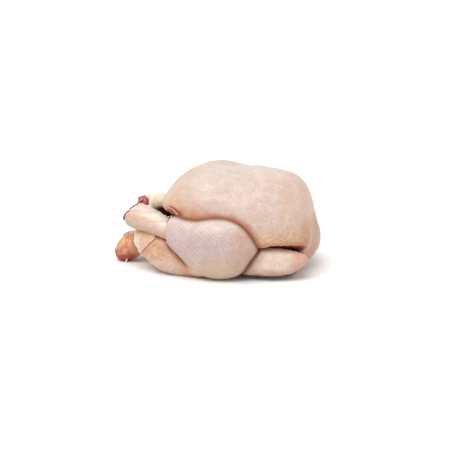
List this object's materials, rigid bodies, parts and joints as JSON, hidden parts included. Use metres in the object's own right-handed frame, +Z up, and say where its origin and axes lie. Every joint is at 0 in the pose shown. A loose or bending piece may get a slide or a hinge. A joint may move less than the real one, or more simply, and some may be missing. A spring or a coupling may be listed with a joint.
{
  "type": "whole raw chicken",
  "caption": "Whole plucked and drawn raw chicken lying on its back, legs folded along its sides, wings tucked, body cavity open at the vent.",
  "frame": {"origin": "under the middle of the object's box, on the surface that the bird rests on", "axes": "+X towards the neck end, along the body; +Z up, from the back to the breast; the bird's left side is at -Y"},
  "size_m": [0.2184, 0.1652, 0.1083],
  "materials": {
    "skin": "moist semi-gloss raw skin, pale peach, lavender over the drumsticks and yellow where fat lies under it"
  },
  "bodies": {
    "root": {"chicken": "skin"}
  },
  "joints": []
}
